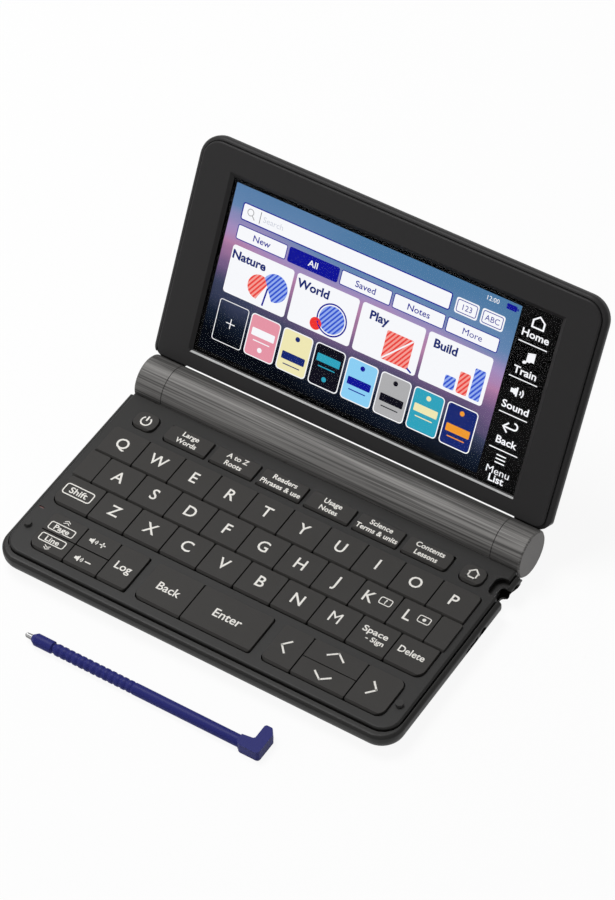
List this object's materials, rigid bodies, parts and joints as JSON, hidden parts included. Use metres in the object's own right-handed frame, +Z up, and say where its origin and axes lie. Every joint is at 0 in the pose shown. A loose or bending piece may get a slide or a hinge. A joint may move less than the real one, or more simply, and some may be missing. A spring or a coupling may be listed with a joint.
{
  "type": "electronic dictionary",
  "caption": "Pocket clamshell electronic dictionary with a letter keyboard, a battery barrel at the hinge, a touch display in the lid and a loose hooked stylus.",
  "frame": {"origin": "middle of the outline on the desk, with the lid open as drawn and the stylus in front", "axes": "+X to the user's right along the hinge, +Y away from the user, +Z up"},
  "size_m": [0.148, 0.1524, 0.0809],
  "materials": {
    "case": "fine matt black-brown",
    "keys": "matt dark grey",
    "lid": "fine matt dark grey",
    "barrel": "satin grey with fine lengthwise lines",
    "cell": "plain sleeve",
    "board": "solder mask",
    "rubber": "matt",
    "glass": "clear touch panel",
    "display": "lit display",
    "steel": "satin",
    "stylus": "satin blue"
  },
  "bodies": {
    "base": {"lower_case": "case", "top_case": "case", "centre_barrel": "barrel", "battery_cells": "cell", "main_board": "board", "rubber_pads": "rubber"},
    "lid": {"lid_back": "lid", "lid_bezel": "lid", "touch_glass": "glass", "lcd_module": "display", "hinge_caps": "barrel", "hinge_pins": "steel"},
    "battery_cover": {"battery_cover": "barrel"},
    "stylus": {"stylus_body": "stylus", "stylus_tip": "steel"},
    "key_power": {"key_power": "keys"},
    "key_mode_1": {"key_mode_1": "keys"},
    "key_mode_2": {"key_mode_2": "keys"},
    "key_mode_3": {"key_mode_3": "keys"},
    "key_mode_4": {"key_mode_4": "keys"},
    "key_mode_5": {"key_mode_5": "keys"},
    "key_mode_6": {"key_mode_6": "keys"},
    "key_home": {"key_home": "keys"},
    "key_q": {"key_q": "keys"},
    "key_w": {"key_w": "keys"},
    "key_e": {"key_e": "keys"},
    "key_r": {"key_r": "keys"},
    "key_t": {"key_t": "keys"},
    "key_y": {"key_y": "keys"},
    "key_u": {"key_u": "keys"},
    "key_i": {"key_i": "keys"},
    "key_o": {"key_o": "keys"},
    "key_p": {"key_p": "keys"},
    "key_a": {"key_a": "keys"},
    "key_s": {"key_s": "keys"},
    "key_d": {"key_d": "keys"},
    "key_f": {"key_f": "keys"},
    "key_g": {"key_g": "keys"},
    "key_h": {"key_h": "keys"},
    "key_j": {"key_j": "keys"},
    "key_k": {"key_k": "keys"},
    "key_l": {"key_l": "keys"},
    "key_shift": {"key_shift": "keys"},
    "key_z": {"key_z": "keys"},
    "key_x": {"key_x": "keys"},
    "key_c": {"key_c": "keys"},
    "key_v": {"key_v": "keys"},
    "key_b": {"key_b": "keys"},
    "key_n": {"key_n": "keys"},
    "key_m": {"key_m": "keys"},
    "key_space": {"key_space": "keys"},
    "key_delete": {"key_delete": "keys"},
    "key_page": {"key_page": "keys"},
    "key_volume": {"key_volume": "keys"},
    "key_history": {"key_history": "keys"},
    "key_back": {"key_back": "keys"},
    "key_enter": {"key_enter": "keys"},
    "key_left": {"key_left": "keys"},
    "key_up_down": {"key_up_down": "keys"},
    "key_right": {"key_right": "keys"}
  },
  "joints": [
    {"name": "lid_hinge", "type": "hinge", "parent": "base", "child": "lid", "pos_m": [0, 0.02857, 0.00825], "axis": [-1, 0, 0], "range_deg": [-119.5, 35.5]},
    {"name": "battery_cover_off", "type": "slide", "parent": "base", "child": "battery_cover", "axis": [0, 0.4226, -0.9063], "range_m": [0, 0.008]},
    {"name": "stylus_lift", "type": "slide", "parent": "base", "child": "stylus", "axis": [0, 0, 1], "range_m": [0, 0.012]},
    {"name": "key_power_press", "type": "slide", "parent": "base", "child": "key_power", "axis": [0, 0, -1], "range_m": [0, 0.0005], "stiffness_N_per_m": 600, "springref_m": -0.0002},
    {"name": "key_mode_1_press", "type": "slide", "parent": "base", "child": "key_mode_1", "axis": [0, 0, -1], "range_m": [0, 0.0005], "stiffness_N_per_m": 600, "springref_m": -0.0002},
    {"name": "key_mode_2_press", "type": "slide", "parent": "base", "child": "key_mode_2", "axis": [0, 0, -1], "range_m": [0, 0.0005], "stiffness_N_per_m": 600, "springref_m": -0.0002},
    {"name": "key_mode_3_press", "type": "slide", "parent": "base", "child": "key_mode_3", "axis": [0, 0, -1], "range_m": [0, 0.0005], "stiffness_N_per_m": 600, "springref_m": -0.0002},
    {"name": "key_mode_4_press", "type": "slide", "parent": "base", "child": "key_mode_4", "axis": [0, 0, -1], "range_m": [0, 0.0005], "stiffness_N_per_m": 600, "springref_m": -0.0002},
    {"name": "key_mode_5_press", "type": "slide", "parent": "base", "child": "key_mode_5", "axis": [0, 0, -1], "range_m": [0, 0.0005], "stiffness_N_per_m": 600, "springref_m": -0.0002},
    {"name": "key_mode_6_press", "type": "slide", "parent": "base", "child": "key_mode_6", "axis": [0, 0, -1], "range_m": [0, 0.0005], "stiffness_N_per_m": 600, "springref_m": -0.0002},
    {"name": "key_home_press", "type": "slide", "parent": "base", "child": "key_home", "axis": [0, 0, -1], "range_m": [0, 0.0005], "stiffness_N_per_m": 600, "springref_m": -0.0002},
    {"name": "key_q_press", "type": "slide", "parent": "base", "child": "key_q", "axis": [0, 0, -1], "range_m": [0, 0.0007], "stiffness_N_per_m": 600, "springref_m": -0.0002},
    {"name": "key_w_press", "type": "slide", "parent": "base", "child": "key_w", "axis": [0, 0, -1], "range_m": [0, 0.0007], "stiffness_N_per_m": 600, "springref_m": -0.0002},
    {"name": "key_e_press", "type": "slide", "parent": "base", "child": "key_e", "axis": [0, 0, -1], "range_m": [0, 0.0007], "stiffness_N_per_m": 600, "springref_m": -0.0002},
    {"name": "key_r_press", "type": "slide", "parent": "base", "child": "key_r", "axis": [0, 0, -1], "range_m": [0, 0.0007], "stiffness_N_per_m": 600, "springref_m": -0.0002},
    {"name": "key_t_press", "type": "slide", "parent": "base", "child": "key_t", "axis": [0, 0, -1], "range_m": [0, 0.0007], "stiffness_N_per_m": 600, "springref_m": -0.0002},
    {"name": "key_y_press", "type": "slide", "parent": "base", "child": "key_y", "axis": [0, 0, -1], "range_m": [0, 0.0007], "stiffness_N_per_m": 600, "springref_m": -0.0002},
    {"name": "key_u_press", "type": "slide", "parent": "base", "child": "key_u", "axis": [0, 0, -1], "range_m": [0, 0.0007], "stiffness_N_per_m": 600, "springref_m": -0.0002},
    {"name": "key_i_press", "type": "slide", "parent": "base", "child": "key_i", "axis": [0, 0, -1], "range_m": [0, 0.0007], "stiffness_N_per_m": 600, "springref_m": -0.0002},
    {"name": "key_o_press", "type": "slide", "parent": "base", "child": "key_o", "axis": [0, 0, -1], "range_m": [0, 0.0007], "stiffness_N_per_m": 600, "springref_m": -0.0002},
    {"name": "key_p_press", "type": "slide", "parent": "base", "child": "key_p", "axis": [0, 0, -1], "range_m": [0, 0.0007], "stiffness_N_per_m": 600, "springref_m": -0.0002},
    {"name": "key_a_press", "type": "slide", "parent": "base", "child": "key_a", "axis": [0, 0, -1], "range_m": [0, 0.0007], "stiffness_N_per_m": 600, "springref_m": -0.0002},
    {"name": "key_s_press", "type": "slide", "parent": "base", "child": "key_s", "axis": [0, 0, -1], "range_m": [0, 0.0007], "stiffness_N_per_m": 600, "springref_m": -0.0002},
    {"name": "key_d_press", "type": "slide", "parent": "base", "child": "key_d", "axis": [0, 0, -1], "range_m": [0, 0.0007], "stiffness_N_per_m": 600, "springref_m": -0.0002},
    {"name": "key_f_press", "type": "slide", "parent": "base", "child": "key_f", "axis": [0, 0, -1], "range_m": [0, 0.0007], "stiffness_N_per_m": 600, "springref_m": -0.0002},
    {"name": "key_g_press", "type": "slide", "parent": "base", "child": "key_g", "axis": [0, 0, -1], "range_m": [0, 0.0007], "stiffness_N_per_m": 600, "springref_m": -0.0002},
    {"name": "key_h_press", "type": "slide", "parent": "base", "child": "key_h", "axis": [0, 0, -1], "range_m": [0, 0.0007], "stiffness_N_per_m": 600, "springref_m": -0.0002},
    {"name": "key_j_press", "type": "slide", "parent": "base", "child": "key_j", "axis": [0, 0, -1], "range_m": [0, 0.0007], "stiffness_N_per_m": 600, "springref_m": -0.0002},
    {"name": "key_k_press", "type": "slide", "parent": "base", "child": "key_k", "axis": [0, 0, -1], "range_m": [0, 0.0007], "stiffness_N_per_m": 600, "springref_m": -0.0002},
    {"name": "key_l_press", "type": "slide", "parent": "base", "child": "key_l", "axis": [0, 0, -1], "range_m": [0, 0.0007], "stiffness_N_per_m": 600, "springref_m": -0.0002},
    {"name": "key_shift_press", "type": "slide", "parent": "base", "child": "key_shift", "axis": [0, 0, -1], "range_m": [0, 0.0007], "stiffness_N_per_m": 600, "springref_m": -0.0002},
    {"name": "key_z_press", "type": "slide", "parent": "base", "child": "key_z", "axis": [0, 0, -1], "range_m": [0, 0.0007], "stiffness_N_per_m": 600, "springref_m": -0.0002},
    {"name": "key_x_press", "type": "slide", "parent": "base", "child": "key_x", "axis": [0, 0, -1], "range_m": [0, 0.0007], "stiffness_N_per_m": 600, "springref_m": -0.0002},
    {"name": "key_c_press", "type": "slide", "parent": "base", "child": "key_c", "axis": [0, 0, -1], "range_m": [0, 0.0007], "stiffness_N_per_m": 600, "springref_m": -0.0002},
    {"name": "key_v_press", "type": "slide", "parent": "base", "child": "key_v", "axis": [0, 0, -1], "range_m": [0, 0.0007], "stiffness_N_per_m": 600, "springref_m": -0.0002},
    {"name": "key_b_press", "type": "slide", "parent": "base", "child": "key_b", "axis": [0, 0, -1], "range_m": [0, 0.0007], "stiffness_N_per_m": 600, "springref_m": -0.0002},
    {"name": "key_n_press", "type": "slide", "parent": "base", "child": "key_n", "axis": [0, 0, -1], "range_m": [0, 0.0007], "stiffness_N_per_m": 600, "springref_m": -0.0002},
    {"name": "key_m_press", "type": "slide", "parent": "base", "child": "key_m", "axis": [0, 0, -1], "range_m": [0, 0.0007], "stiffness_N_per_m": 600, "springref_m": -0.0002},
    {"name": "key_space_press", "type": "slide", "parent": "base", "child": "key_space", "axis": [0, 0, -1], "range_m": [0, 0.0007], "stiffness_N_per_m": 600, "springref_m": -0.0002},
    {"name": "key_delete_press", "type": "slide", "parent": "base", "child": "key_delete", "axis": [0, 0, -1], "range_m": [0, 0.0007], "stiffness_N_per_m": 600, "springref_m": -0.0002},
    {"name": "key_page_rock", "type": "hinge", "parent": "base", "child": "key_page", "pos_m": [-0.05765, -0.04135, 0.006], "axis": [1, 0, 0], "range_deg": [-2, 2], "stiffness_Nm_per_rad": 0.06},
    {"name": "key_volume_rock", "type": "hinge", "parent": "base", "child": "key_volume", "pos_m": [-0.04478, -0.04135, 0.006], "axis": [1, 0, 0], "range_deg": [-2, 2], "stiffness_Nm_per_rad": 0.06},
    {"name": "key_history_press", "type": "slide", "parent": "base", "child": "key_history", "axis": [0, 0, -1], "range_m": [0, 0.0007], "stiffness_N_per_m": 600, "springref_m": -0.0002},
    {"name": "key_back_press", "type": "slide", "parent": "base", "child": "key_back", "axis": [0, 0, -1], "range_m": [0, 0.0007], "stiffness_N_per_m": 600, "springref_m": -0.0002},
    {"name": "key_enter_press", "type": "slide", "parent": "base", "child": "key_enter", "axis": [0, 0, -1], "range_m": [0, 0.0007], "stiffness_N_per_m": 600, "springref_m": -0.0002},
    {"name": "key_left_press", "type": "slide", "parent": "base", "child": "key_left", "axis": [0, 0, -1], "range_m": [0, 0.0007], "stiffness_N_per_m": 600, "springref_m": -0.0002},
    {"name": "key_up_down_rock", "type": "hinge", "parent": "base", "child": "key_up_down", "pos_m": [0.0428, -0.04135, 0.006], "axis": [1, 0, 0], "range_deg": [-2, 2], "stiffness_Nm_per_rad": 0.06},
    {"name": "key_right_press", "type": "slide", "parent": "base", "child": "key_right", "axis": [0, 0, -1], "range_m": [0, 0.0007], "stiffness_N_per_m": 600, "springref_m": -0.0002}
  ]
}
